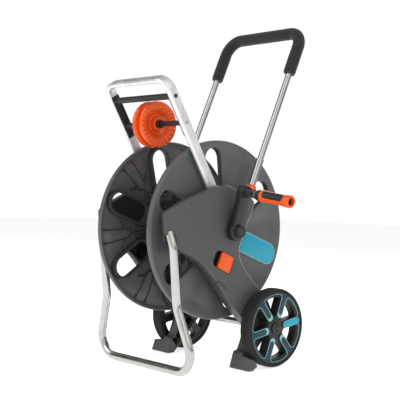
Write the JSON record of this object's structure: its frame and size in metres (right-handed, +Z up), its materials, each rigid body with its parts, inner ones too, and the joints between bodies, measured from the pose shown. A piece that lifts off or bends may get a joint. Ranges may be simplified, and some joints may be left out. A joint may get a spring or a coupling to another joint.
{
  "type": "garden hose reel cart",
  "caption": "Wheeled garden hose trolley: winding drum with folding crank, tubular leg stand, sliding hose guide roller and telescopic foam-covered handle.",
  "frame": {"origin": "middle of the overall bounding box's footprint, at ground level", "axes": "+X towards the crank side along the drum axis, +Y from the leg stand towards the wheels and the handle, +Z up"},
  "size_m": [0.5488, 0.5076, 0.9093],
  "materials": {
    "grey_plastic": "fine moulded grain",
    "drum_plastic": "fine moulded grain",
    "black_plastic": "fine moulded grain",
    "orange_plastic": "satin",
    "turquoise_plastic": "satin",
    "anodised_aluminium": "satin anodised",
    "chromed_steel": "polished",
    "plated_steel": "zinc plated",
    "foam": "closed-cell foam",
    "tyre": "moulded rubber"
  },
  "bodies": {
    "frame": {"side_plate_right": "grey_plastic", "side_plate_left": "grey_plastic", "leg_stand": "chromed_steel", "guide_frame": "anodised_aluminium", "guide_insert_right": "black_plastic", "guide_insert_left": "black_plastic", "guide_crossbar": "black_plastic", "guide_rod": "black_plastic", "crossbar_screw_right": "black_plastic", "crossbar_screw_left": "black_plastic", "guide_rod_pin_right": "plated_steel", "guide_rod_pin_left": "plated_steel", "handle_sleeve_right": "chromed_steel", "handle_sleeve_left": "chromed_steel", "sleeve_collar_right": "orange_plastic", "sleeve_collar_left": "orange_plastic", "drum_bush_right": "black_plastic", "drum_bush_left": "black_plastic", "inlet_elbow": "black_plastic", "inlet_collar": "orange_plastic", "wheel_axle": "chromed_steel", "axle_clip_right": "plated_steel", "axle_clip_left": "plated_steel"},
    "drum": {"flange_right": "drum_plastic", "flange_left": "drum_plastic", "drum_core": "black_plastic", "flange_panel": "turquoise_plastic", "tie_rod_1": "plated_steel", "tie_rod_2": "plated_steel", "tie_rod_3": "plated_steel", "inlet_journal": "black_plastic", "outlet_elbow": "black_plastic", "outlet_nut": "orange_plastic", "crank_shaft": "plated_steel", "crank_arm": "black_plastic", "crank_cap": "plated_steel", "pivot_pin": "plated_steel"},
    "crank_neck": {"grip_neck": "drum_plastic", "grip_spindle": "plated_steel", "grip_collar": "black_plastic"},
    "crank_grip": {"grip_shell": "orange_plastic", "grip_inlay": "black_plastic"},
    "handle": {"handle_tube": "chromed_steel", "handle_foam": "foam", "handle_glide_right": "black_plastic", "handle_glide_left": "black_plastic"},
    "lock_right": {"handle_lock_right": "orange_plastic"},
    "lock_left": {"handle_lock_left": "orange_plastic"},
    "roller_carriage": {"roller_bush": "black_plastic"},
    "roller": {"guide_roller": "orange_plastic"},
    "wheel_right": {"tyre_right": "tyre", "wheel_disc_right": "black_plastic", "wheel_panel_right": "turquoise_plastic", "hub_cap_right": "black_plastic"},
    "wheel_left": {"tyre_left": "tyre", "wheel_disc_left": "black_plastic", "wheel_panel_left": "turquoise_plastic", "hub_cap_left": "black_plastic"}
  },
  "joints": [
    {"name": "drum_spin", "type": "hinge", "parent": "frame", "child": "drum", "pos_m": [-0.08041, -0.02378, 0.355], "axis": [1, 0, 0], "continuous": true},
    {"name": "grip_fold", "type": "hinge", "parent": "drum", "child": "crank_neck", "pos_m": [0.13853, -0.02378, 0.45023], "axis": [0, 1, 0], "range_deg": [0, 90]},
    {"name": "grip_spin", "type": "hinge", "parent": "crank_neck", "child": "crank_grip", "pos_m": [0.13853, -0.02378, 0.45023], "axis": [0.9925, 0, -0.1219], "continuous": true},
    {"name": "handle_slide", "type": "slide", "parent": "frame", "child": "handle", "axis": [0, 0.3987, 0.9171], "range_m": [-0.18, 0]},
    {"name": "lock_right_swing", "type": "hinge", "parent": "frame", "child": "lock_right", "pos_m": [0.07109, -0.02728, 0.26782], "axis": [0, 0.3987, 0.9171], "range_deg": [0, 35]},
    {"name": "lock_left_swing", "type": "hinge", "parent": "frame", "child": "lock_left", "pos_m": [-0.23191, -0.02728, 0.26782], "axis": [0, -0.3987, -0.9171], "range_deg": [0, 35]},
    {"name": "roller_slide", "type": "slide", "parent": "frame", "child": "roller_carriage", "axis": [1, 0, 0], "range_m": [-0.074, 0.074]},
    {"name": "roller_spin", "type": "hinge", "parent": "roller_carriage", "child": "roller", "pos_m": [-0.08041, -0.15982, 0.6213], "axis": [1, 0, 0], "continuous": true},
    {"name": "wheel_right_spin", "type": "hinge", "parent": "frame", "child": "wheel_right", "pos_m": [0.09609, 0.10822, 0.103], "axis": [1, 0, 0], "continuous": true},
    {"name": "wheel_left_spin", "type": "hinge", "parent": "frame", "child": "wheel_left", "pos_m": [-0.25691, 0.10822, 0.103], "axis": [1, 0, 0], "continuous": true}
  ]
}
